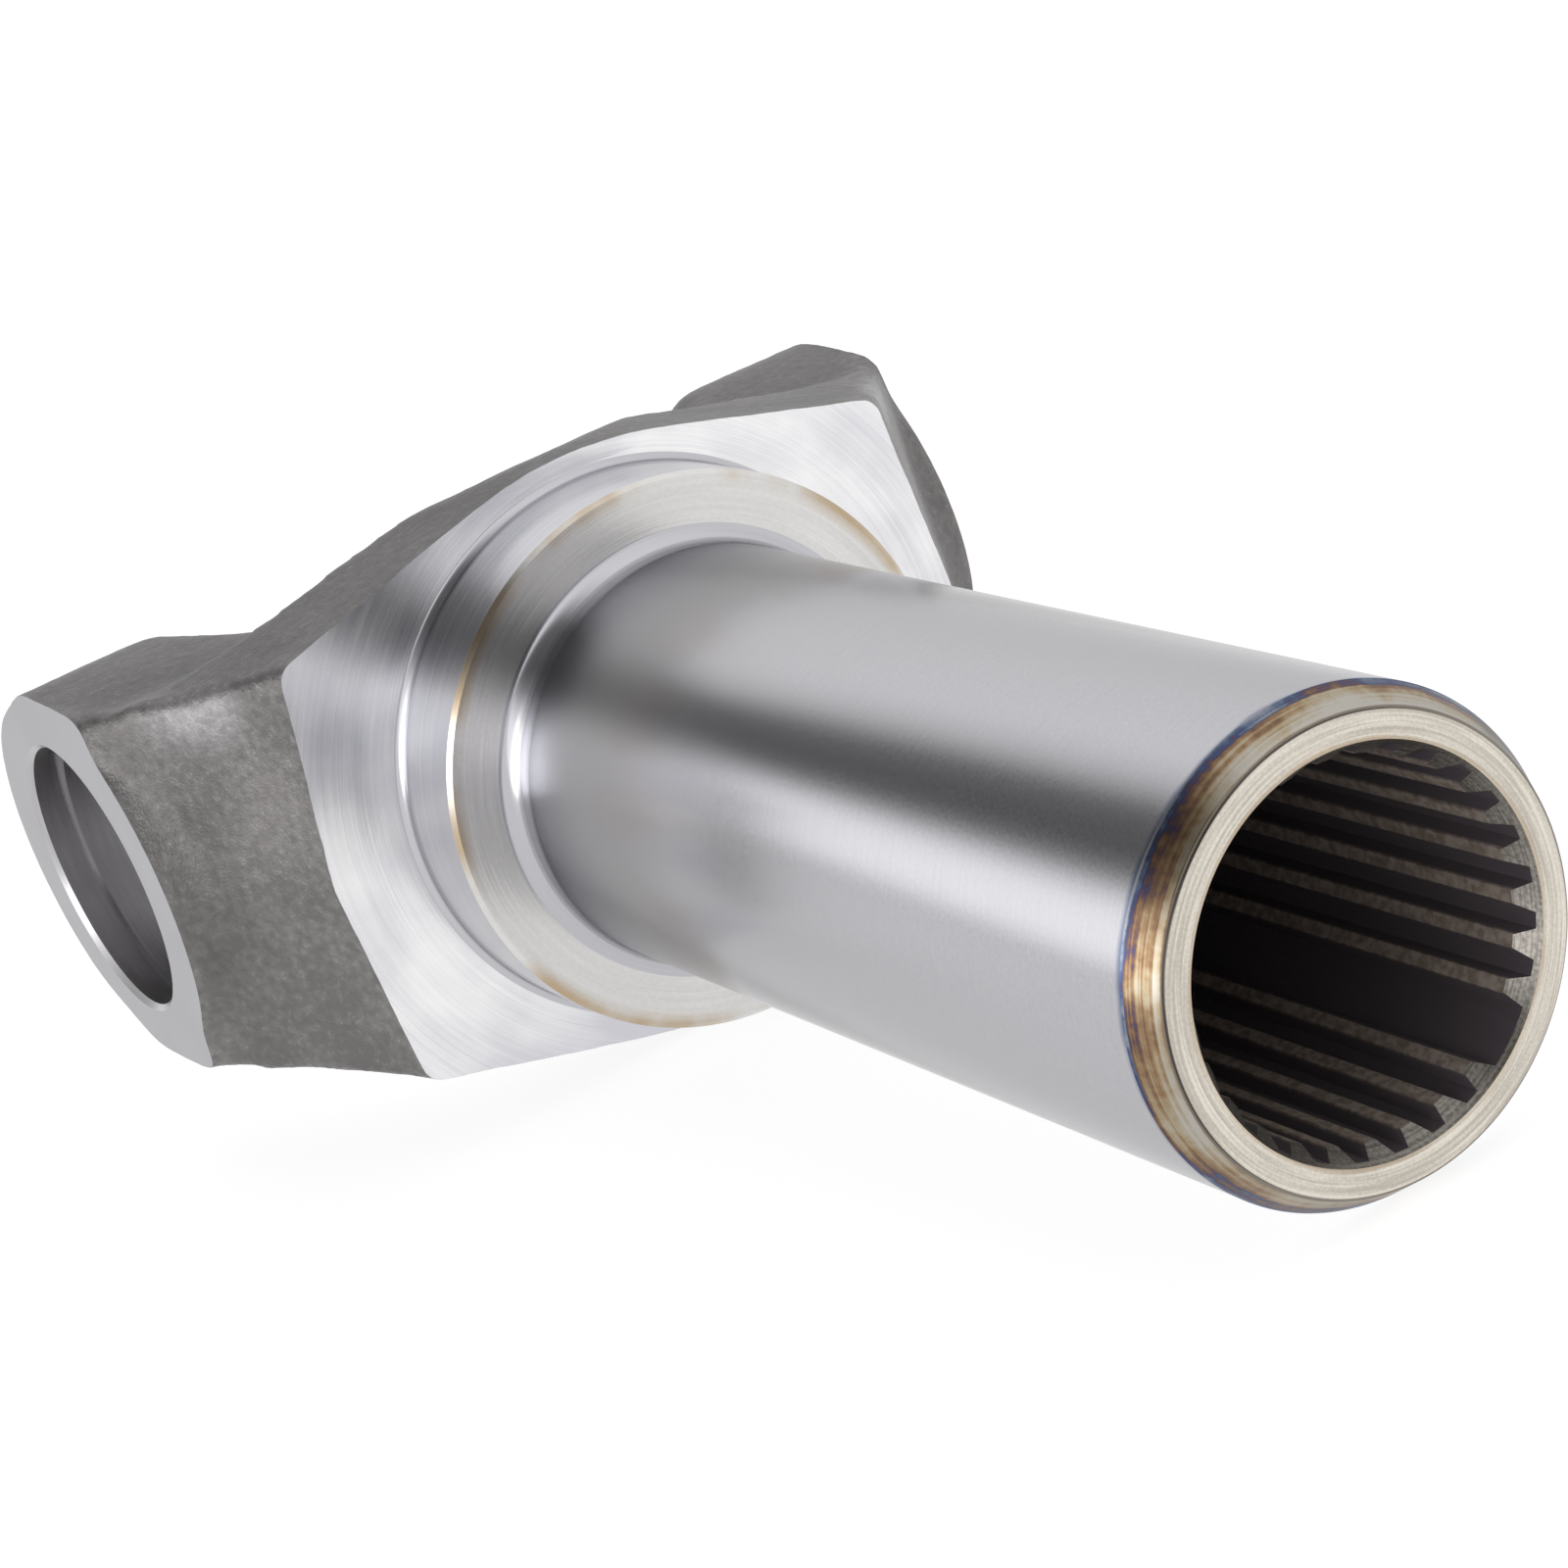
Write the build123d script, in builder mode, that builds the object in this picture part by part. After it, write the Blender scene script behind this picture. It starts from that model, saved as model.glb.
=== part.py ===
from build123d import *
import os
from math import cos, radians, sin, tan

# Slip yoke of a propeller shaft: one steel forging, machined where it fits other parts,
# and the plug that closes its splined bore.
# Frame: +X runs along the barrel to its open end, +Y along the cross bore, +Z up.
# The origin is where the barrel axis meets the cross-bore axis.

# Driving dimensions, in millimetres and degrees

# Turned barrel and boss
barrel_d = 38.1
barrel_end_x = 142.3
barrel_root_r = 1.6
boss_d = 50.9
boss_height = 10.0
boss_root_r = 0.7
boss_edge = 0.4
end_chamfer_length = 2.7
end_chamfer_height = 1.5
end_step_depth = 0.2

# Splined bore
spline_positions = 27
spline_major_d = 29.8
spline_minor_d = 27.94
tooth_tip_angle = 5.2
space_floor_angle = 4.4
wide_space_angle = -50.2
spline_length = 90.0
mouth_d = 30.4
mouth_cone_length = 1.9
relief_d = 31.4

# Plug and its seat
plug_d = 33.0
plug_thickness = 1.8
plug_dome = 1.6
plug_seat_x = 26.0
plug_fit = 0.0

# Ears and cross bore
ear_face_y = 44.5
ear_inner_y = 27.5
ear_half_z = 19.0
ear_tip_x = -19.8
ear_tip_r = 17.0
ear_shoulder_angle = 25.0
ear_shoulder_r = 12.0
neck_depth = 1.4
pad_d = 39.4
pad_slope_angle = 33.0
pad_depth = 7.0
cross_bore_d = 27.0
cross_bore_chamfer = 0.5
clip_groove_width = 1.6
clip_groove_depth = 0.9
clip_groove_inset = 2.1

# Forged head
base_face_x = 34.5
base_flank_y = 34.0
flank_angle = 30.0
base_bulge_z = 27.9
base_bulge_r = 39.0
base_slope_angle = 15.4
rim_back_x = 23.2
rim_rise = 8.2
rim_back_r = 2.5
crown_angle = 15.0
rise_angle = 66.0
rise_foot_r = 9.0
crotch_x = 18.5
outer_draft = 5.0
inner_draft = 7.0
flank_edge_r = 1.4
crotch_edge_r = 3.0
machining_stock = 2.0

# The forging before machining is what three drafted outlines have in common
neck_half_z = ear_half_z - neck_depth
rim_back_z = neck_half_z + rim_rise
stock_face_x = base_face_x + machining_stock
stock_bulge_z = base_bulge_z + machining_stock
die_depth = 1.4 * stock_bulge_z
die_reach = 2.0 * machining_stock
overrun = 5.0 * machining_stock
die_half_y = ear_face_y + overrun


# Seen along Z: two flanks that spread from the base to the ears, with draft from the parting line
with BuildPart() as plan_block:
    with BuildSketch(Plane.XY):
        with BuildLine():
            spread = tan(radians(flank_angle))
            far_x = stock_face_x + overrun
            far_y = base_flank_y - (far_x - base_face_x) * spread
            near_x = base_face_x - (die_half_y - base_flank_y) / spread
            behind_x = ear_tip_x - overrun
            Polyline(
                (far_x, 0),
                (far_x, far_y),
                (near_x, die_half_y),
                (behind_x, die_half_y),
                (behind_x, 0),
                close=True,
            )
        make_face()
        mirror(about=Plane.XZ)
    extrude(amount=die_depth, both=True, taper=outer_draft)


# Seen along X: the flat top of the ears and the low bulge of the base over the boss
with BuildPart() as front_block:
    with BuildSketch(Plane.YZ.offset(stock_face_x)):
        with BuildLine():
            slope = radians(base_slope_angle)
            bulge_y = base_bulge_r * sin(slope)
            bulge_foot_z = base_bulge_z - base_bulge_r * (1 - cos(slope))
            corner_y = bulge_y + (bulge_foot_z - ear_half_z) / tan(slope)
            ThreePointArc((-bulge_y, bulge_foot_z), (0, base_bulge_z), (bulge_y, bulge_foot_z))
            Polyline(
                (bulge_y, bulge_foot_z),
                (corner_y, ear_half_z),
                (die_half_y, ear_half_z),
                (die_half_y, 0),
                (-die_half_y, 0),
                (-die_half_y, ear_half_z),
                (-corner_y, ear_half_z),
                (-bulge_y, bulge_foot_z),
            )
        make_face()
        mirror(about=Plane.XZ)
    extrude(amount=behind_x - stock_face_x)


# Seen along Y: round ear tips, shoulders, a shallow neck, the steep back of the rim and its crown
with BuildPart() as side_block:
    with BuildSketch(Plane.XZ):
        with BuildLine():
            shoulder = radians(ear_shoulder_angle)
            knee_x = ear_tip_x + ear_tip_r * (1 - sin(shoulder))
            knee_z = ear_tip_r * cos(shoulder)
            shoulder_x = knee_x + (ear_half_z - knee_z) / tan(shoulder)
            rise_foot_x = rim_back_x - rim_rise / tan(radians(rise_angle))
            crown_z = rim_back_z + (stock_face_x - rim_back_x) * tan(radians(crown_angle))
            RadiusArc((knee_x, -knee_z), (knee_x, knee_z), ear_tip_r)
            Line((knee_x, knee_z), (shoulder_x, ear_half_z))
            TangentArc((shoulder_x, ear_half_z), (rise_foot_x, neck_half_z), tangent=(1, 0))
            Polyline(
                (rise_foot_x, neck_half_z),
                (rim_back_x, rim_back_z),
                (stock_face_x, crown_z),
                (stock_face_x, -crown_z),
                (rim_back_x, -rim_back_z),
                (rise_foot_x, -neck_half_z),
            )
            TangentArc((shoulder_x, -ear_half_z), (rise_foot_x, -neck_half_z), tangent=(1, 0))
            Line((knee_x, -knee_z), (shoulder_x, -ear_half_z))
        make_face()
        fillet(vertices().group_by(Axis.X)[1], ear_shoulder_r)
        fillet(vertices().group_by(Axis.X)[3], rise_foot_r)
        fillet(vertices().group_by(Axis.X)[-2], rim_back_r)
    extrude(amount=die_half_y, both=True)


# The gap between the ears: a drafted U with its round end at the crotch
with BuildPart() as ear_gap:
    with BuildSketch(Plane.XY):
        with BuildLine():
            gap_centre_x = crotch_x - ear_inner_y
            RadiusArc((gap_centre_x, ear_inner_y), (gap_centre_x, -ear_inner_y), ear_inner_y)
            Polyline(
                (gap_centre_x, -ear_inner_y),
                (behind_x, -ear_inner_y),
                (behind_x, ear_inner_y),
                (gap_centre_x, ear_inner_y),
            )
        make_face()
    extrude(amount=die_depth, both=True, taper=-inner_draft)


# Round pads round the cross bore, sloping into the flanks on the barrel side
with BuildPart() as pads:
    pad_stock_r = pad_d / 2 - machining_stock * tan(radians(pad_slope_angle))
    with BuildSketch(Plane.XZ.offset(-ear_face_y - machining_stock)):
        Circle(pad_stock_r)
    extrude(amount=pad_depth + machining_stock, taper=-pad_slope_angle)
    mirror(about=Plane.XZ)
    add(side_block.part, mode=Mode.INTERSECT)
    add(front_block.part, mode=Mode.INTERSECT)


with BuildPart() as yoke:
    # Forged head
    add(side_block.part)
    add(front_block.part, mode=Mode.INTERSECT)
    add(plan_block.part, mode=Mode.INTERSECT)

    # Edges between the flat tops and the spreading flanks, rounded in the die
    flank_tops = (
        yoke.edges()
        .filter_by(lambda e: abs(e.center().Z) > neck_half_z - die_reach)
        .filter_by(lambda e: e.center().X > 0)
        .filter_by(lambda e: abs(e.tangent_at(0.5).Y) > 0.3 and abs(e.tangent_at(0.5).X) > 0.8)
    )
    fillet(flank_tops, flank_edge_r)
    add(ear_gap.part, mode=Mode.SUBTRACT)
    crotch_edges = yoke.edges(Select.NEW)
    fillet(crotch_edges, crotch_edge_r)
    add(pads.part)

    # Milled ear faces and the turned back face of the base
    with Locations((base_face_x, 0, 0)):
        Box(
            base_face_x - behind_x,
            2 * ear_face_y,
            2 * stock_bulge_z,
            align=(Align.MAX, Align.CENTER, Align.CENTER),
            mode=Mode.INTERSECT,
        )

    # Boss and barrel, turned in one setting
    with BuildSketch(Plane.XZ):
        with BuildLine():
            boss_r = boss_d / 2
            barrel_r = barrel_d / 2
            boss_face_x = base_face_x + boss_height
            spigot_r = base_bulge_z - boss_root_r
            end_face_r = barrel_r - end_chamfer_height
            step_x = barrel_end_x - end_step_depth
            Polyline(
                (crotch_x, 0),
                (crotch_x, relief_d / 2),
                (base_face_x - machining_stock, spigot_r),
                (base_face_x, spigot_r),
                (base_face_x, boss_r),
                (boss_face_x, boss_r),
                (boss_face_x, barrel_r),
                (step_x - end_chamfer_length, barrel_r),
                (step_x, end_face_r),
                (step_x, end_face_r - end_step_depth),
                (barrel_end_x, end_face_r - end_step_depth),
                (barrel_end_x, 0),
                close=True,
            )
        make_face()
        fillet(vertices().sort_by_distance((base_face_x, boss_r, 0))[0], boss_root_r)
        fillet(vertices().sort_by_distance((boss_face_x, barrel_r, 0))[0], barrel_root_r)
        chamfer(vertices().sort_by_distance((boss_face_x, boss_r, 0))[0], boss_edge)
    revolve(axis=Axis.X)

    # Cross bores with a clip groove and a small chamfer in each ear
    with BuildSketch(Plane.XZ):
        Circle(cross_bore_d / 2)
    extrude(amount=die_half_y, both=True, mode=Mode.SUBTRACT)
    bore_mouths = (
        yoke.edges()
        .filter_by(GeomType.CIRCLE)
        .filter_by(lambda e: abs(e.radius - cross_bore_d / 2) < 0.01)
        .filter_by(lambda e: abs(abs(e.center().Y) - ear_face_y) < 0.01)
    )
    chamfer(bore_mouths, cross_bore_chamfer)
    groove_y = ear_face_y - clip_groove_inset
    for side in (-1, 1):
        with BuildSketch(Plane.XZ.offset(side * groove_y)):
            Circle(cross_bore_d / 2 + clip_groove_depth)
            Circle(cross_bore_d / 2, mode=Mode.SUBTRACT)
        extrude(amount=-side * clip_groove_width, mode=Mode.SUBTRACT)

    # Bore: broached teeth with one wide space, a relief, the plug's seat and the mouth cone
    spline_back_x = barrel_end_x - spline_length
    pitch_angle = 360 / spline_positions
    tooth_count = spline_positions - 1
    first_tooth = wide_space_angle + pitch_angle
    tip_half = spline_minor_d / 2 * radians(tooth_tip_angle) / 2
    root_half = spline_major_d / 2 * radians(pitch_angle - space_floor_angle) / 2
    tooth_height = (spline_major_d - spline_minor_d) / 2
    tooth_flare = root_half - tip_half
    with BuildSketch(Plane.YZ.offset(spline_back_x)):
        Circle(spline_major_d / 2)
        with PolarLocations(0, tooth_count, first_tooth, pitch_angle * tooth_count):
            Polygon(
                (spline_minor_d / 2 - tooth_height, -tip_half + tooth_flare),
                (spline_major_d / 2 + tooth_height, -root_half - tooth_flare),
                (spline_major_d / 2 + tooth_height, root_half + tooth_flare),
                (spline_minor_d / 2 - tooth_height, tip_half - tooth_flare),
                align=None,
                mode=Mode.SUBTRACT,
            )
        Circle(spline_minor_d / 2)
    extrude(amount=spline_length, mode=Mode.SUBTRACT)
    with BuildSketch(Plane.YZ.offset(plug_seat_x)):
        Circle(relief_d / 2)
    extrude(amount=spline_back_x - plug_seat_x, mode=Mode.SUBTRACT)
    with BuildSketch(Plane.YZ):
        Circle(plug_d / 2 + plug_fit)
    extrude(amount=plug_seat_x, mode=Mode.SUBTRACT)
    with BuildSketch(Plane.XZ):
        with BuildLine():
            cone_start_x = barrel_end_x - mouth_cone_length
            Polyline(
                (cone_start_x, 0),
                (cone_start_x, spline_minor_d / 2),
                (barrel_end_x, mouth_d / 2),
                (barrel_end_x, 0),
                close=True,
            )
        make_face()
    revolve(axis=Axis.X, mode=Mode.SUBTRACT)


# Expansion plug: a shallow steel dome pressed against the shoulder behind the splines
with BuildPart() as plug:
    with BuildSketch(Plane.XZ):
        with BuildLine():
            rim_x = plug_seat_x - plug_thickness
            dome_x = rim_x - plug_dome
            plug_r = plug_d / 2
            dome_r = (plug_r**2 + plug_dome**2) / (2 * plug_dome)
            Line((dome_x + plug_thickness, 0), (dome_x, 0))
            RadiusArc((dome_x, 0), (rim_x, plug_r), dome_r)
            Line((rim_x, plug_r), (plug_seat_x, plug_r))
            RadiusArc((plug_seat_x, plug_r), (dome_x + plug_thickness, 0), -dome_r)
        make_face()
    revolve(axis=Axis.X)


os.makedirs("parts", exist_ok=True)
yoke.part.label = "yoke"
plug.part.label = "plug"
for piece in (yoke, plug):
    export_step(piece.part, "parts/" + piece.part.label + ".step")
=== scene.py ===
import math

import bmesh
import bpy
from mathutils import Matrix, Vector


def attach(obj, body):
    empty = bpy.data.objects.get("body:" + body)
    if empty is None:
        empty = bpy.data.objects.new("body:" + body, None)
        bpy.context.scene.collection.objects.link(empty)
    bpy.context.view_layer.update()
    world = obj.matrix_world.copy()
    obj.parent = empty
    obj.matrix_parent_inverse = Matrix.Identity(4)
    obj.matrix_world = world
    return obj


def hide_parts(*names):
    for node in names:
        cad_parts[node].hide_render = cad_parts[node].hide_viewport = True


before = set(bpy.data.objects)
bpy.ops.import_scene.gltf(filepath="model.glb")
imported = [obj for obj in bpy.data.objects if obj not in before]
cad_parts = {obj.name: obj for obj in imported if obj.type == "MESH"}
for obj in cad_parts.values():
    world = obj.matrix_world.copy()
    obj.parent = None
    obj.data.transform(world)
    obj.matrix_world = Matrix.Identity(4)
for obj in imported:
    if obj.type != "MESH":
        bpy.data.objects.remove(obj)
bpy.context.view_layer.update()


# The forging. A steel billet struck between two dies that part on z = 0, then shot blasted. Its
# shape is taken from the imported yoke: the machined faces are peeled off, what lay under them is
# closed again with stock, and the skin gets waves and pits. It sits half a degree askew in the chuck.
mm = 0.001
ear_face_y = 44.5
base_face_x = 34.5
cross_bore_r = 13.5
clip_groove_r = 14.4
clip_land_y = 40.0
plug_seat_r = 16.5
plug_seat_mouth_x = 23.0
stock = 3.0
skin_grid = 0.7
chucking_turn = 0.5
flank_angle = math.radians(30)
flank_top_y = 32.1


class Value:
    """A number or vector that a node gives out. Arithmetic on it adds Math nodes to its tree."""

    def __init__(self, nodes, socket):
        self.nodes, self.socket = nodes, socket

    def __add__(self, other):
        return self.nodes.maths("ADD", self, other)

    def __sub__(self, other):
        return self.nodes.maths("SUBTRACT", self, other)

    def __rsub__(self, other):
        return self.nodes.maths("SUBTRACT", other, self)

    def __mul__(self, other):
        return self.nodes.maths("MULTIPLY", self, other)

    def __truediv__(self, other):
        return self.nodes.maths("DIVIDE", self, other)

    def __pow__(self, power):
        return self.nodes.maths("POWER", self, power)

    __radd__ = __add__
    __rmul__ = __mul__


class Nodes:
    """A node tree under construction."""

    def __init__(self, tree):
        self.tree = tree

    def node(self, kind, settings=None, links=None, output=0):
        """Adds one node: its settings first, then its sockets' values or links. Gives an output."""
        made = self.tree.nodes.new(kind)
        for name, value in (settings or {}).items():
            if name == "stops":
                self.set_stops(made.color_ramp.elements, value)
            else:
                setattr(made, name, value)
        for socket, value in (links or {}).items():
            if isinstance(value, Value):
                self.tree.links.new(value.socket, made.inputs[socket])
            else:
                made.inputs[socket].default_value = value
        return Value(self, made.outputs[output]) if len(made.outputs) else None

    def set_stops(self, elements, stops):
        """Gives a colour ramp its stops, each a place from 0 to 1 and a colour."""
        for element, (place, colour) in zip(elements, (stops[0], stops[-1])):
            element.position, element.color = place, (*colour, 1.0)
        for place, colour in stops[1:-1]:
            elements.new(place).color = (*colour, 1.0)

    def maths(self, operation, *terms):
        return self.node("ShaderNodeMath", {"operation": operation}, dict(enumerate(terms)))


class Shape(Nodes):
    """A Geometry Nodes tree with named inputs, in the order given."""

    def __init__(self, name, inputs):
        super().__init__(bpy.data.node_groups.new(name, "GeometryNodeTree"))
        face = self.tree.interface
        face.new_socket("Geometry", in_out="INPUT", socket_type="NodeSocketGeometry")
        for label, kind in inputs.items():
            face.new_socket(label, in_out="INPUT", socket_type="NodeSocket" + kind)
        face.new_socket("Geometry", in_out="OUTPUT", socket_type="NodeSocketGeometry")
        sockets = self.tree.nodes.new("NodeGroupInput").outputs
        self.given = {socket.name: Value(self, socket) for socket in sockets}

    def finish(self, geometry, material):
        """Ends the tree in Realize Instances and Set Material."""
        real = self.node("GeometryNodeRealizeInstances", links={0: geometry})
        painted = self.node("GeometryNodeSetMaterial", {}, {"Geometry": real})
        painted.socket.node.inputs["Material"].default_value = material
        self.node("NodeGroupOutput", links={0: painted})
        return self.tree


class Steel(Nodes):
    """A steel surface under construction. Its place on the object is read in millimetres."""

    def __init__(self, name):
        self.material = bpy.data.materials.new(name)
        self.material.use_nodes = True
        super().__init__(self.material.node_tree)
        self.tree.nodes.clear()
        metres = self.node("ShaderNodeTexCoord", output="Object")
        self.place = self.node("ShaderNodeVectorMath", {"operation": "SCALE"}, {0: metres, "Scale": 1 / mm})
        self.x, self.y, self.z = self.split(self.place)

    def split(self, vector):
        parted = self.node("ShaderNodeSeparateXYZ", links={0: vector})
        return [Value(self, output) for output in parted.socket.node.outputs]

    def join(self, *parts):
        return self.node("ShaderNodeCombineXYZ", links=dict(enumerate(parts)))

    def noise(self, scale, detail=2.0, place=None):
        """Soft noise about 0.5, with scale as features in a millimetre."""
        links = {"Vector": place or self.place, "Scale": scale, "Detail": detail}
        return self.node("ShaderNodeTexNoise", links=links)

    def rise(self, value, low, high):
        """0 below low, 1 above high, and smooth between them."""
        settings = {"interpolation_type": "SMOOTHSTEP"}
        return self.node("ShaderNodeMapRange", settings, {0: value, 1: low, 2: high})

    def mix(self, share, colour, other):
        """From one colour to another as the share goes from 0 to 1."""
        ends = [(*end, 1.0) if isinstance(end, tuple) else end for end in (colour, other)]
        return self.node("ShaderNodeMix", {"data_type": "RGBA"}, {0: share, 6: ends[0], 7: ends[1]}, 2)

    def bump(self, height, depth):
        """A normal from a height that goes from 0 to 1, with its depth in millimetres."""
        return self.node("ShaderNodeBump", links={"Height": height, "Distance": depth * mm})

    def finish(self, colour, roughness, normal, metallic=1.0, edge_tint=1.0):
        """Ends the tree in one Principled BSDF. The edge tint dims what shows at a grazing angle."""
        links = {"Base Color": colour, "Roughness": roughness, "Metallic": metallic, "Normal": normal}
        links["Specular Tint"] = (edge_tint, edge_tint, edge_tint, 1.0)
        surface = self.node("ShaderNodeBsdfPrincipled", links=links)
        self.node("ShaderNodeOutputMaterial", links={0: surface})
        return self.material


def forged_steel():
    """Blasted forging skin: warm dark grey with a dull sheen, finely pitted, painted darker as shade on its
    upper side and in the hollow by its ear faces, rubbed pale on its high spots, and painted pale as a
    highlight along its flanks' upper edges."""
    steel = Steel("forged_skin")
    clouds = steel.noise(0.09)
    mottle = steel.noise(1.1, 6.0)
    grain = steel.noise(4.0, 3.0)
    tone = steel.rise(clouds * 0.5 + mottle * 0.5, 0.36, 0.64)
    colour = steel.mix(tone, (0.13, 0.122, 0.122), (0.2, 0.19, 0.188))
    rubbed = steel.rise(mottle * 0.35 + grain * 0.65, 0.54, 0.7)
    colour = steel.mix(rubbed * 0.3, colour, (0.38, 0.37, 0.37))
    side = steel.maths("ABSOLUTE", steel.y)
    along = steel.x - base_face_x
    past_flank = side + along * math.tan(flank_angle) - flank_top_y
    upper = steel.rise(steel.z, 13.0, 17.5)
    # Painted shade: the skin's upper side, away from the flanks, is darkened in its colour.
    top = (1.0 - steel.rise(past_flank, -5.0, 0.5)) * upper
    colour = steel.mix(top * 0.55, colour, (0.07, 0.067, 0.066))
    # Painted highlight: a pale band along each flank's upper edge, between the ear and the base.
    edge = steel.rise(along, -17.0, -11.0) * (1.0 - steel.rise(along, -8.0, -3.0))
    edge = edge * steel.rise(past_flank, -2.2, 0.0) * upper
    colour = steel.mix(edge * (mottle * 0.8 + 0.1), colour, (0.46, 0.45, 0.46))
    lip = steel.rise(side, ear_face_y - 1.2, ear_face_y)
    # Painted shade: the hollow on each flank beside the ear face's lip is darkened in its colour.
    painted_valley_shade = steel.rise(side, ear_face_y - 8.0, ear_face_y - 3.0) * (1.0 - lip)
    painted_valley_shade = painted_valley_shade * steel.rise(past_flank, -1.0, 1.5)
    colour = steel.mix(painted_valley_shade * 0.4, colour, (0.075, 0.07, 0.07))
    normal = steel.bump(mottle * 0.55 + grain * 0.45, 0.17)
    return steel.finish(colour, 0.45 - rubbed * 0.1, normal, 0.7)


def is_machined(face):
    """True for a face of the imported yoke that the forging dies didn't make."""
    x, y, z = face.calc_center_median() / mm
    along_x, along_y = abs(face.normal.x), abs(face.normal.y)
    in_cross_bore = math.hypot(x, z) < clip_groove_r + 0.1 and (along_y < 0.2 or abs(y) > clip_land_y)
    in_seat = math.hypot(y, z) < plug_seat_r + 0.1 and x > 0
    in_seat = in_seat and (along_x < 0.05 or x > plug_seat_mouth_x)
    return abs(y) > ear_face_y - 0.01 or x > base_face_x - 0.01 or in_cross_bore or in_seat


def peel_forging(packed):
    """A closed mesh of the forging before any machining, with stock on its ears and its base."""
    shell = bmesh.new()
    shell.from_mesh(packed.data)
    bmesh.ops.remove_doubles(shell, verts=shell.verts, dist=0.001 * mm)
    machined = [face for face in shell.faces if is_machined(face)]
    bmesh.ops.delete(shell, geom=machined, context="FACES")
    for direction, plane in (((0, 1, 0), ear_face_y), ((0, -1, 0), ear_face_y), ((1, 0, 0), base_face_x)):
        outward = Vector(direction)
        rim = [
            edge
            for edge in shell.edges
            if edge.is_boundary and all(vert.co @ outward > (plane - 0.01) * mm for vert in edge.verts)
        ]
        grown = bmesh.ops.extrude_edge_only(shell, edges=rim)["geom"]
        far_side = [part for part in grown if isinstance(part, bmesh.types.BMVert)]
        bmesh.ops.translate(shell, verts=far_side, vec=outward * stock * mm)
    open_edges = [edge for edge in shell.edges if edge.is_boundary]
    bmesh.ops.holes_fill(shell, edges=open_edges, sides=0)
    bmesh.ops.triangulate(shell, faces=shell.faces)
    bmesh.ops.recalc_face_normals(shell, faces=shell.faces)
    mesh = bpy.data.meshes.new("forging")
    shell.to_mesh(mesh)
    shell.free()
    return mesh


def place(name, mesh):
    """A new object with that mesh, at the origin of the scene."""
    made = bpy.data.objects.new(name, mesh)
    bpy.context.scene.collection.objects.link(made)
    return made


def settle(piece):
    """Turns what a piece's modifiers make into its plain mesh."""
    bpy.context.view_layer.update()
    evaluated = piece.evaluated_get(bpy.context.evaluated_depsgraph_get())
    mesh = bpy.data.meshes.new_from_object(evaluated)
    piece.modifiers.clear()
    rough_mesh, piece.data = piece.data, mesh
    bpy.data.meshes.remove(rough_mesh)


def set_inputs(piece, modifier, values):
    """Sets a Geometry Nodes modifier's inputs by the names that its tree gives them."""
    for item in modifier.node_group.interface.items_tree:
        if item.item_type == "SOCKET" and item.in_out == "INPUT" and item.name in values:
            modifier[item.identifier] = values[item.name]
    piece.update_tag()


def forged_skin_tree(material):
    """Moves each point of the skin along its normal: low waves of dies that had lost their shape, and pits
    of scale.
    """
    shape = Shape(
        "forged_skin",
        {
            "Wave height": "Float",
            "Wave scale": "Float",
            "Pit depth": "Float",
            "Pit scale": "Float",
            "Shrinkage": "Float",
        },
    )
    given = shape.given
    wave = shape.node("ShaderNodeTexNoise", links={"Scale": given["Wave scale"], "Detail": 1.0})
    pit = shape.node("ShaderNodeTexNoise", links={"Scale": given["Pit scale"], "Detail": 2.0})
    lift = (wave - 0.5) * given["Wave height"] + (pit - 0.5) * given["Pit depth"] - given["Shrinkage"]
    normal = shape.node("GeometryNodeInputNormal")
    offset = shape.node("ShaderNodeVectorMath", {"operation": "SCALE"}, {0: normal, "Scale": lift})
    moved = shape.node("GeometryNodeSetPosition", links={"Geometry": given["Geometry"], "Offset": offset})
    return shape.finish(moved, material)


yoke = place("forged_yoke", peel_forging(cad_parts["yoke"]))
yoke.data.transform(Matrix.Rotation(math.radians(-chucking_turn), 4, "X"))
remesh = yoke.modifiers.new("die_grain", "REMESH")
remesh.mode = "VOXEL"
remesh.voxel_size = skin_grid * mm
remesh.use_smooth_shade = True
worn_dies = yoke.modifiers.new("worn_dies", "SMOOTH")
worn_dies.factor = 0.5
worn_dies.iterations = 6
waves = yoke.modifiers.new("waves", "NODES")
waves.node_group = forged_skin_tree(forged_steel())
set_inputs(
    yoke,
    waves,
    {
        "Wave height": 0.5 * mm,
        "Wave scale": 90.0,
        "Pit depth": 0.16 * mm,
        "Pit scale": 700.0,
        "Shrinkage": 0.12 * mm,
    },
)
settle(yoke)


# The milled faces. The ears are milled flat and the back of the base is faced, which cuts through
# the forged skin and leaves bright steel with a slightly uneven edge.
def milled_steel():
    """Fine cross-milled face: bright, pale and even, with faint straight marks."""
    steel = Steel("milled_steel")
    marks = steel.noise(1.0, 3.0, steel.join(steel.x * 0.25, 0.0, steel.z * 5.0))
    cloud = steel.noise(0.12)
    colour = steel.mix(cloud * 0.5 + marks * 0.5, (0.31, 0.31, 0.325), (0.43, 0.43, 0.445))
    return steel.finish(colour, marks * 0.12 + 0.34, steel.bump(marks, 0.01))


def lathe_lines(steel, fineness, drift=1.4):
    """Noise in rings about the barrel's axis that fade in and out around each turn."""
    radius = (steel.y * steel.y + steel.z * steel.z) ** 0.5
    feed = radius * fineness + steel.x * fineness
    around = steel.join(feed, steel.y / radius * drift, steel.z / radius * drift)
    return radius, steel.noise(1.0, 3.0, around)


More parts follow.
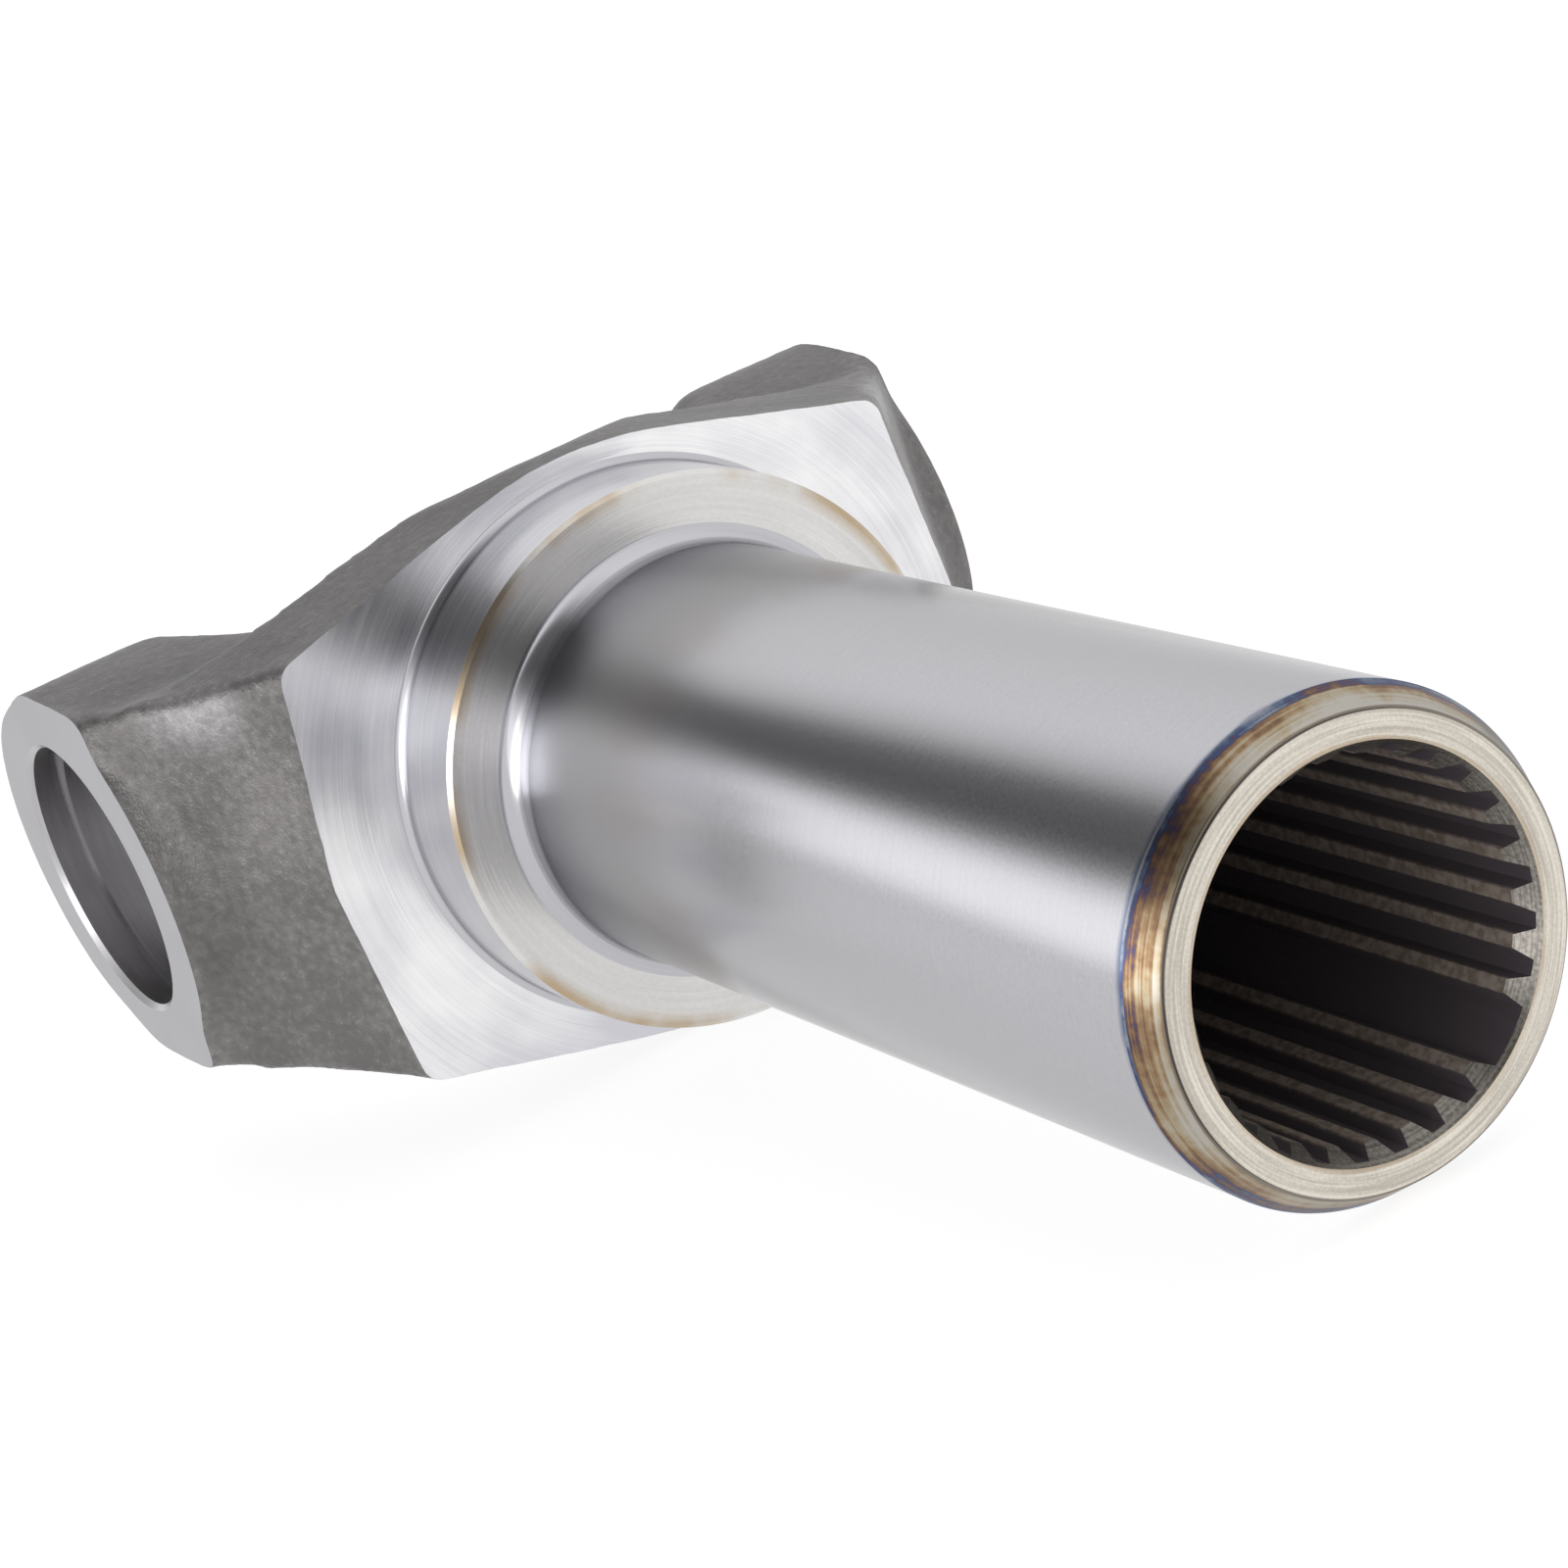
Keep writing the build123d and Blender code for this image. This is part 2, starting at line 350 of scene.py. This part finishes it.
def faced_steel():
    """Faced in the lathe: silver, with rings painted lighter in partial arcs as if catching the light, and
    painted shade towards its bottom.
    """
    steel = Steel("faced_steel")
    fine = lathe_lines(steel, 5.0)[1]
    broad = lathe_lines(steel, 0.7, 2.2)[1]
    cloud = steel.noise(0.09, 3.0)
    # Painted shade: darker towards the bottom of the face, standing in for the shaded floor that it mirrors
    # there.
    painted_low_shade = steel.rise(steel.y * 0.3 - steel.z, 6.0, 26.0)
    tone = steel.rise(fine * 0.25 + broad * 0.2 + cloud * 0.55, 0.26, 0.74) - painted_low_shade * 0.7
    colour = steel.mix(tone, (0.6, 0.6, 0.64), (0.93, 0.925, 0.92))
    roughness = broad * 0.1 + fine * 0.06 + 0.09
    return steel.finish(colour, roughness, steel.bump(fine, 0.004))


def block(name, low, high, finishes):
    """A block between two corners, with a finish for each way that its faces look."""
    solid = bmesh.new()
    bmesh.ops.create_cube(solid, size=1.0)
    low, high = Vector(low) * mm, Vector(high) * mm
    for vert in solid.verts:
        vert.co = Vector(high[i] if vert.co[i] > 0 else low[i] for i in range(3))
    for face in solid.faces:
        face.material_index = max(range(3), key=lambda i: abs(face.normal[i]))
    mesh = bpy.data.meshes.new(name)
    solid.to_mesh(mesh)
    solid.free()
    for finish in finishes:
        mesh.materials.append(finish)
    return place(name, mesh)


def machine(work, tool, operation):
    """Cuts a tool's shape from the work, adds it, or keeps only what both share."""
    step = work.modifiers.new(tool.name, "BOOLEAN")
    step.operation = operation
    step.solver = "MANIFOLD"
    step.material_mode = "TRANSFER"
    step.object = tool
    settle(work)
    swept = tool.data
    bpy.data.objects.remove(tool)
    bpy.data.meshes.remove(swept)


faced = faced_steel()
milled = milled_steel()
milling_reach = 60.0
limits = block(
    "milling_limits",
    (-milling_reach, -ear_face_y, -milling_reach),
    (base_face_x, ear_face_y, milling_reach),
    (faced, milled, milled),
)
machine(yoke, limits, "INTERSECT")


# The boss and the barrel, turned in one setting. The boss is left as turned, the barrel is ground
# to run in the gearbox seal, and hardening has tempered its end chamfer from straw to blue.
turning_steps = 192
boss_r = 25.45
boss_face_x = 44.5
boss_root_r = 0.7
boss_edge = 0.4
spigot_r = 27.2
barrel_r = 19.05
barrel_end_x = 142.3
barrel_root_r = 1.6
grinding_start_x = 47.3
grinding_depth = 0.05
end_chamfer_length = 2.7
end_face_r = 17.55
end_step = 0.2
end_grooves = 11
end_groove_depth = 0.035
chamfer_start = barrel_end_x - end_step - end_chamfer_length


def turned(name, stretches, along_y=False):
    """A closed solid of revolution. Each stretch is a finish and the points that it runs through,
    as (place along the axis, radius) in millimetres."""
    solid = bmesh.new()
    finishes = []
    rings = []
    for finish, points in stretches:
        if finish not in finishes:
            finishes.append(finish)
        for along, radius in points:
            ring = []
            for step in range(turning_steps if radius > 0 else 1):
                turn = 2 * math.pi * step / turning_steps
                across, up = radius * math.cos(turn), radius * math.sin(turn)
                point = (across, along, up) if along_y else (along, across, up)
                ring.append(solid.verts.new(Vector(point) * mm))
            rings.append((ring, finishes.index(finish)))
    for (ring, _), (following, finish_index) in zip(rings, rings[1:]):
        for step in range(turning_steps):
            after = (step + 1) % turning_steps
            corners = [ring[step % len(ring)], ring[after % len(ring)]]
            corners += [following[after % len(following)], following[step % len(following)]]
            face = solid.faces.new(list(dict.fromkeys(corners)))
            face.material_index = finish_index
            face.smooth = True
    bmesh.ops.recalc_face_normals(solid, faces=solid.faces)
    mesh = bpy.data.meshes.new(name)
    solid.to_mesh(mesh)
    solid.free()
    for finish in finishes:
        mesh.materials.append(finish)
    return place(name, mesh)


def arc(centre, radius, start, end, steps=8):
    """Points of a round stretch of a turned profile, from one angle to another in degrees."""
    angles = [math.radians(start + (end - start) * step / steps) for step in range(steps + 1)]
    return [(centre[0] + radius * math.cos(a), centre[1] + radius * math.sin(a)) for a in angles]


def turned_steel():
    """The boss wall: satin, with close feed lines round it."""
    steel = Steel("turned_steel")
    lines = lathe_lines(steel, 3.2, 0.5)[1]
    colour = steel.mix(lines, (0.42, 0.42, 0.45), (0.56, 0.56, 0.585))
    return steel.finish(colour, lines * 0.1 + 0.12, steel.bump(lines, 0.006))


def boss_face_steel():
    """The boss face: silver rings, with the straw tint of a hot cut along its outer edge."""
    steel = Steel("boss_face_steel")
    radius, fine = lathe_lines(steel, 4.0)
    broad = lathe_lines(steel, 1.1, 2.0)[1]
    dull = steel.noise(2.2, 3.0)
    tone = fine * 0.4 + broad * 0.35 + dull * 0.25
    colour = steel.mix(tone, (0.46, 0.45, 0.44), (0.82, 0.81, 0.795))
    stain = steel.noise(2.0, 3.0, steel.join(0.0, steel.y / radius, steel.z / radius))
    warmth = steel.rise(radius + broad * 1.2, boss_r - 1.2, boss_r + 0.4)
    warmth = warmth * steel.rise(stain, 0.4, 0.62)
    colour = steel.mix(warmth * 0.85, colour, (0.42, 0.3, 0.16))
    roughness = broad * 0.08 + fine * 0.05 + 0.15
    return steel.finish(colour, roughness, steel.bump(fine, 0.006))


def ground_steel():
    """The ground barrel: satin, faintly blue, with a fine even speckle. Heat from the end has left
    a blue trace beside the chamfer."""
    steel = Steel("ground_steel")
    speckle = steel.noise(3.2, 3.0)
    radius, lines = lathe_lines(steel, 9.0, 3.0)
    colour = steel.mix(speckle * 0.6 + lines * 0.4, (0.4, 0.397, 0.42), (0.52, 0.517, 0.54))
    trace = steel.noise(2.6, 4.0, steel.join(0.0, steel.y / radius, steel.z / radius))
    heated = steel.rise(steel.x + trace * 1.4, chamfer_start + 0.1, chamfer_start + 0.9)
    colour = steel.mix(heated * 0.8, colour, (0.1, 0.13, 0.24))
    normal = steel.bump(speckle * 0.5 + lines * 0.5, 0.006)
    return steel.finish(colour, speckle * 0.08 + 0.17, normal, edge_tint=0.8)


def tempered_steel():
    """The end chamfer: turned rings under temper colours, hottest at the barrel's corner."""
    steel = Steel("tempered_steel")
    radius, lines = lathe_lines(steel, 7.0, 0.6)
    turn = steel.join(0.0, steel.y / radius, steel.z / radius)
    patches = steel.noise(2.3, 3.0, turn)
    flecks = steel.noise(1.3, 3.0)
    depth = (barrel_end_x - end_step - steel.x) / end_chamfer_length
    heat = depth * depth * 0.7 + patches * 1.4 + lines * 1.3 + flecks * 0.4 - 1.4
    temper = (
        (0.0, (0.4, 0.38, 0.34)),
        (0.25, (0.34, 0.28, 0.19)),
        (0.42, (0.24, 0.155, 0.085)),
        (0.55, (0.15, 0.09, 0.065)),
        (0.63, (0.085, 0.06, 0.09)),
        (0.72, (0.055, 0.07, 0.14)),
        (0.86, (0.12, 0.15, 0.21)),
        (1.0, (0.24, 0.25, 0.27)),
    )
    colour = steel.node("ShaderNodeValToRGB", {"stops": temper}, {0: heat})
    smoke = steel.rise(steel.noise(1.6, 4.0, turn), 0.56, 0.66)
    colour = steel.mix(smoke * 0.7, colour, (0.08, 0.075, 0.075))
    return steel.finish(colour, lines * 0.15 + 0.24, steel.bump(lines, 0.008))


def end_face_steel():
    """The end face: warm silver, turned, with a dark step near its rim and a browned mouth."""
    steel = Steel("end_face_steel")
    radius, fine = lathe_lines(steel, 4.5)
    broad = lathe_lines(steel, 1.2, 1.8)[1]
    speckle = steel.noise(4.0, 3.0)
    tone = steel.rise(fine * 0.55 + broad * 0.25 + speckle * 0.2, 0.36, 0.66)
    colour = steel.mix(tone, (0.47, 0.43, 0.375), (0.76, 0.71, 0.63))
    step = steel.rise(radius, end_face_r - end_step - 0.1, end_face_r - end_step)
    colour = steel.mix(step * 0.8, colour, (0.13, 0.115, 0.1))
    rim = 1.0 - steel.rise(radius + broad * 0.5, mouth_r + 0.25, mouth_r + 0.65)
    colour = steel.mix(rim * 0.45, colour, (0.4, 0.27, 0.12))
    return steel.finish(colour, broad * 0.2 + 0.26, steel.bump(fine, 0.012))


def end_chamfer():
    """The end chamfer's outline, with its feed marks cut as real grooves."""
    points = []
    for groove in range(1, end_grooves * 2):
        share = groove / (end_grooves * 2)
        radius = barrel_r + (end_face_r - barrel_r) * share - end_groove_depth * (groove % 2)
        points.append((chamfer_start + end_chamfer_length * share, radius))
    return points + [(barrel_end_x - end_step, end_face_r)]


mouth_r = 15.2
turned_wall = turned_steel()
ground = ground_steel()
end_face = end_face_steel()
root_fillet = arc((boss_face_x + barrel_root_r, barrel_r + barrel_root_r), barrel_root_r, 180, 262, 14)
boss_and_barrel = [
    (faced, [(base_face_x - 4, 0), (base_face_x - 4, spigot_r - 2), (base_face_x, spigot_r)]),
    (turned_wall, arc((base_face_x + boss_root_r, boss_r + boss_root_r), boss_root_r, 180, 270)),
    (turned_wall, [(boss_face_x - boss_edge, boss_r)]),
    (boss_face_steel(), [(boss_face_x, boss_r - boss_edge), root_fillet[0]]),
    (turned_wall, root_fillet[1:]),
    (turned_wall, [(grinding_start_x - 0.15, barrel_r - grinding_depth), (grinding_start_x, barrel_r)]),
    (ground, [(chamfer_start, barrel_r)]),
    (tempered_steel(), end_chamfer()),
    (end_face, [(barrel_end_x - end_step, end_face_r - end_step)]),
    (end_face, [(barrel_end_x, end_face_r - end_step - 0.04), (barrel_end_x, 0)]),
]
machine(yoke, turned("boss_and_barrel", boss_and_barrel), "UNION")


# The cross bores. Both are bored in one pass for the bearing caps, chamfered, and grooved near the
# ear faces for the clips that hold the caps in.
bore_chamfer = 0.5
groove_outer_y, groove_inner_y = 42.4, 40.8


def bored_steel():
    """A bored wall: dark grey, smooth, with rings about the cross axis."""
    steel = Steel("bored_steel")
    lines = steel.noise(1.0, 3.0, steel.join(steel.x * 0.2, steel.y * 4.0, steel.z * 0.2))
    colour = steel.mix(lines, (0.36, 0.35, 0.36), (0.5, 0.49, 0.5))
    return steel.finish(colour, lines * 0.12 + 0.24, steel.bump(lines, 0.003))


def cross_bores(finish):
    """Both bores as one turned shape, with a chamfer and a clip groove at each end."""
    beyond = 3.0
    half = [(0, cross_bore_r), (groove_inner_y, cross_bore_r), (groove_inner_y, clip_groove_r)]
    half += [(groove_outer_y, clip_groove_r), (groove_outer_y, cross_bore_r)]
    half += [(ear_face_y - bore_chamfer, cross_bore_r)]
    half += [(ear_face_y + beyond, cross_bore_r + bore_chamfer + beyond), (ear_face_y + beyond, 0)]
    whole = [(-y, r) for y, r in reversed(half)] + half[1:]
    return turned("cross_bores", [(finish, whole)], along_y=True)


bored = bored_steel()
machine(yoke, cross_bores(bored), "DIFFERENCE")


# The bore and its teeth. The bore is drilled, relieved behind the teeth and counterbored for the
# plug. A broach then leaves 26 teeth on 27 places, with one space as wide as two, so that the yoke
# fits its shaft one way only. The mouth cone is cut last and ends each tooth in a slanted face.
spline_major_r = 14.9
spline_minor_r = 13.97
spline_back_x = 52.3
relief_r = 15.7
bore_start_x = 8.0
plug_seat_x = 26.0
mouth_cone_length = 1.9
spline_places = 27
tooth_tip_angle = 4.0
space_floor_angle = 4.4
wide_space_angle = -50.2
tooth_foot = 0.5
pitch_angle = 360 / spline_places


def broached_steel():
    """Broached teeth: oily brown-grey lands, and spaces painted nearly black as the shade between the
    teeth.
    """
    steel = Steel("broached_steel")
    radius = (steel.y * steel.y + steel.z * steel.z) ** 0.5
    drag = steel.noise(1.0, 3.0, steel.join(steel.x * 0.15, steel.y * 4.0, steel.z * 4.0))
    oil = steel.rise(steel.noise(1.4, 4.0), 0.35, 0.65)
    land = steel.mix(oil * 0.6 + drag * 0.4, (0.15, 0.115, 0.09), (0.36, 0.305, 0.265))
    # Painted shade: the spaces between the teeth are darkened in colour, as little light reaches them.
    painted_space_shade = steel.rise(radius, spline_minor_r + 0.05, spline_minor_r + 0.25)
    colour = steel.mix(painted_space_shade, land, (0.15, 0.13, 0.145))
    return steel.finish(colour, drag * 0.2 + 0.4, steel.bump(drag, 0.01), 0.3 + painted_space_shade * 0.4)


def mouth_steel():
    """The mouth cone: grey, cut across the tooth ends."""
    steel = Steel("mouth_steel")
    lines = lathe_lines(steel, 4.0)[1]
    scuffs = steel.noise(3.5, 3.0)
    tone = steel.rise(lines * 0.55 + scuffs * 0.45, 0.34, 0.66)
    colour = steel.mix(tone, (0.13, 0.12, 0.105), (0.32, 0.3, 0.27))
    return steel.finish(colour, lines * 0.2 + 0.3, steel.bump(lines, 0.01))


def teeth_tree(material):
    """A row of tapered bars turned about the barrel's axis, one for each tooth."""
    shape = Shape(
        "broached_teeth",
        {
            "Teeth": "Int",
            "First angle": "Float",
            "Pitch": "Float",
            "Tip width": "Float",
            "Foot width": "Float",
            "Height": "Float",
            "Middle radius": "Float",
            "Start": "Float",
            "End": "Float",
        },
    )
    given = shape.given
    widths = {"Bottom Width": given["Foot width"], "Top Width": given["Tip width"]}
    section = shape.node(
        "GeometryNodeCurvePrimitiveQuadrilateral",
        {"mode": "TRAPEZOID"},
        {**widths, "Height": given["Height"], "Offset": 0.0},
    )
    start = shape.node("ShaderNodeCombineXYZ", links={0: given["Start"]})
    end = shape.node("ShaderNodeCombineXYZ", links={0: given["End"]})
    rail = shape.node("GeometryNodeCurvePrimitiveLine", links={"Start": start, "End": end})
    upright = shape.node("GeometryNodeSetCurveNormal", links={"Curve": rail})
    swept = {0: upright, "Profile Curve": section, "Fill Caps": True}
    bar = shape.node("GeometryNodeCurveToMesh", links=swept)
    outward = shape.node("ShaderNodeCombineXYZ", links={2: given["Middle radius"]})
    tooth = shape.node("GeometryNodeTransform", links={"Geometry": bar, "Translation": outward})
    on_axis = {"Count": given["Teeth"], "Offset": (0.0, 0.0, 0.0)}
    points = shape.node("GeometryNodeMeshLine", links=on_axis)
    angle = shape.node("GeometryNodeInputIndex") * given["Pitch"] + given["First angle"]
    turn = shape.node("ShaderNodeCombineXYZ", links={0: angle})
    turned_teeth = {"Points": points, "Instance": tooth, "Rotation": turn}
    ring = shape.node("GeometryNodeInstanceOnPoints", links=turned_teeth)
    return shape.finish(ring, material)


broached = broached_steel()
bore = [
    (bored, [(bore_start_x, 0), (bore_start_x, plug_seat_r)]),
    (bored, [(plug_seat_x, plug_seat_r), (plug_seat_x, relief_r)]),
    (bored, [(spline_back_x, relief_r), (spline_back_x, spline_major_r)]),
    (broached, [(barrel_end_x + 2, spline_major_r), (barrel_end_x + 2, 0)]),
]
machine(yoke, turned("bore", bore), "DIFFERENCE")

tip_width = spline_minor_r * math.radians(tooth_tip_angle)
root_width = spline_major_r * math.radians(pitch_angle - space_floor_angle)
tooth_height = spline_major_r - spline_minor_r
foot_width = root_width + (root_width - tip_width) * tooth_foot / tooth_height
teeth = place("teeth", bpy.data.meshes.new("teeth"))
broach = teeth.modifiers.new("broach", "NODES")
broach.node_group = teeth_tree(broached)
set_inputs(
    teeth,
    broach,
    {
        "Teeth": spline_places - 1,
        "First angle": math.radians(wide_space_angle + pitch_angle - 90),
        "Pitch": math.radians(pitch_angle),
        "Tip width": tip_width * mm,
        "Foot width": foot_width * mm,
        "Height": (tooth_height + tooth_foot) * mm,
        "Middle radius": (spline_minor_r + (tooth_height + tooth_foot) / 2) * mm,
        "Start": (spline_back_x + 0.01) * mm,
        "End": (barrel_end_x - 0.01) * mm,
    },
)
settle(teeth)
machine(yoke, teeth, "UNION")

cone_slope = (mouth_r - spline_minor_r) / mouth_cone_length
cone_back_x = barrel_end_x - mouth_cone_length
cone = [(cone_back_x, 0), (cone_back_x, spline_minor_r - 0.02)]
cone += [(barrel_end_x + 1, mouth_r + cone_slope), (barrel_end_x + 1, 0)]
machine(yoke, turned("mouth_cone", [(mouth_steel(), cone)]), "DIFFERENCE")
yoke.data.shade_smooth()
yoke.data.set_sharp_from_angle(angle=math.radians(30))
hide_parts("yoke")
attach(yoke, "root")


# The plug. A shallow dome pressed from sheet steel and driven into its counterbore at the crotch,
# to keep oil in the bore. It stays as built, with a drawn zinc-grey surface.
def pressed_steel():
    """Drawn sheet steel: zinc grey, lightly scuffed."""
    steel = Steel("pressed_steel")
    scuff = steel.noise(0.5, 4.0)
    grain = steel.noise(4.0, 2.0)
    colour = steel.mix(scuff, (0.34, 0.34, 0.32), (0.56, 0.55, 0.52))
    return steel.finish(colour, scuff * 0.25 + 0.28, steel.bump(grain, 0.01))


plug_finish = pressed_steel()
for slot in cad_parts["plug"].material_slots:
    slot.material = plug_finish


# The studio. The yoke lies on a table lit from below, touching it with its base bulge and its barrel
# end. A white tent runs along the barrel, with a dark slit and a bright strip on the near side.
floor_reach = 8.0
floor_drop = 27.9
floor_lean = math.atan2(floor_drop - barrel_r, chamfer_start - base_face_x)
floor_glow = 0.86
lamp_way = (0.25, -0.96, 0.12)
lamp_power = 2.4
lamp_core = 8
lamp_edge = 28
camera_place = (0.3638062, -0.1388451, 0.1162091)
camera_yaw, camera_dip, camera_roll = 65.51275, 19.30408, -18.65439
photo_side = 1600
focal_length_px = 4164.65
lens_centre_px = (805.04, 802.89)
sensor_width = 36.0


def floor():
    """A lit table wide enough to fill any view, leaning as the yoke lies on it."""
    mesh = bpy.data.meshes.new("floor")
    corners = [(-1, -1), (1, -1), (1, 1), (-1, 1)]
    touch = Vector((base_face_x, 0, -floor_drop)) * mm
    lean = Matrix.Rotation(-floor_lean, 3, "Y")
    points = [touch + lean @ (Vector((x, y, 0)) * floor_reach) for x, y in corners]
    mesh.from_pydata(points, [], [(0, 1, 2, 3)])
    glass = bpy.data.materials.new("lit_glass")
    glass.use_nodes = True
    surface = glass.node_tree.nodes["Principled BSDF"]
    surface.inputs["Base Color"].default_value = (0.24, 0.24, 0.24, 1.0)
    surface.inputs["Roughness"].default_value = 0.9
    surface.inputs["Specular IOR Level"].default_value = 0.0
    surface.inputs["Emission Color"].default_value = (1.0, 1.0, 1.0, 1.0)
    surface.inputs["Emission Strength"].default_value = floor_glow
    mesh.materials.append(glass)
    return place("floor", mesh)


def tent():
    """The light tent. Its brightness changes round the barrel's axis, from the far side over the
    top to the near side, where a lamp stands behind the cloth."""
    world = bpy.data.worlds.new("tent")
    world.use_nodes = True
    sky = Nodes(world.node_tree)
    world.node_tree.nodes.clear()
    way = sky.node("ShaderNodeTexCoord", output="Generated")
    parted = sky.node("ShaderNodeSeparateXYZ", links={0: way}).socket.node.outputs
    turn = sky.maths("ARCTAN2", Value(sky, parted["Z"]), Value(sky, parted["Y"])) / math.pi
    cloth = (
        (0.0, 1.0),
        (0.12, 1.03),
        (0.24, 1.12),
        (0.32, 1.15),
        (0.44, 1.2),
        (0.51, 1.0),
        (0.56, 0.6),
        (0.6, 0.2),
        (0.72, 0.12),
        (0.77, 0.3),
        (0.82, 1.2),
        (0.86, 1.7),
        (0.95, 1.8),
        (1.0, 1.4),
    )
    brightest = max(brightness for _, brightness in cloth)
    stops = [(place, (brightness / brightest,) * 3) for place, brightness in cloth]
    colour = sky.node("ShaderNodeValToRGB", {"stops": stops}, {0: turn})
    aim = sky.node("ShaderNodeVectorMath", {"operation": "DOT_PRODUCT"}, {0: way, 1: lamp_way}, 1)
    spread = {1: math.cos(math.radians(lamp_edge)), 2: math.cos(math.radians(lamp_core))}
    powers = {3: brightest, 4: brightest + lamp_power}
    settings = {"interpolation_type": "SMOOTHSTEP"}
    strength = sky.node("ShaderNodeMapRange", settings, {0: aim, **spread, **powers})
    light = sky.node("ShaderNodeBackground", links={"Color": colour, "Strength": strength})
    sky.node("ShaderNodeOutputWorld", links={0: light})
    bpy.context.scene.world = world


def camera():
    """The camera, with the photograph's place, direction and framing."""
    lens = bpy.data.cameras.new("camera")
    lens.sensor_width = sensor_width
    lens.lens = focal_length_px / photo_side * sensor_width
    lens.shift_x = (photo_side / 2 - lens_centre_px[0]) / photo_side
    lens.shift_y = (lens_centre_px[1] - photo_side / 2) / photo_side
    lens.clip_start = 0.01
    eye = place("camera", lens)
    yaw = Matrix.Rotation(math.radians(camera_yaw), 4, "Z")
    dip = Matrix.Rotation(math.radians(90 - camera_dip), 4, "X")
    roll = Matrix.Rotation(math.radians(camera_roll), 4, "Z")
    eye.matrix_world = Matrix.Translation(camera_place) @ yaw @ dip @ roll
    bpy.context.scene.camera = eye


floor()
tent()
camera()
bpy.context.scene.view_settings.view_transform = "Standard"
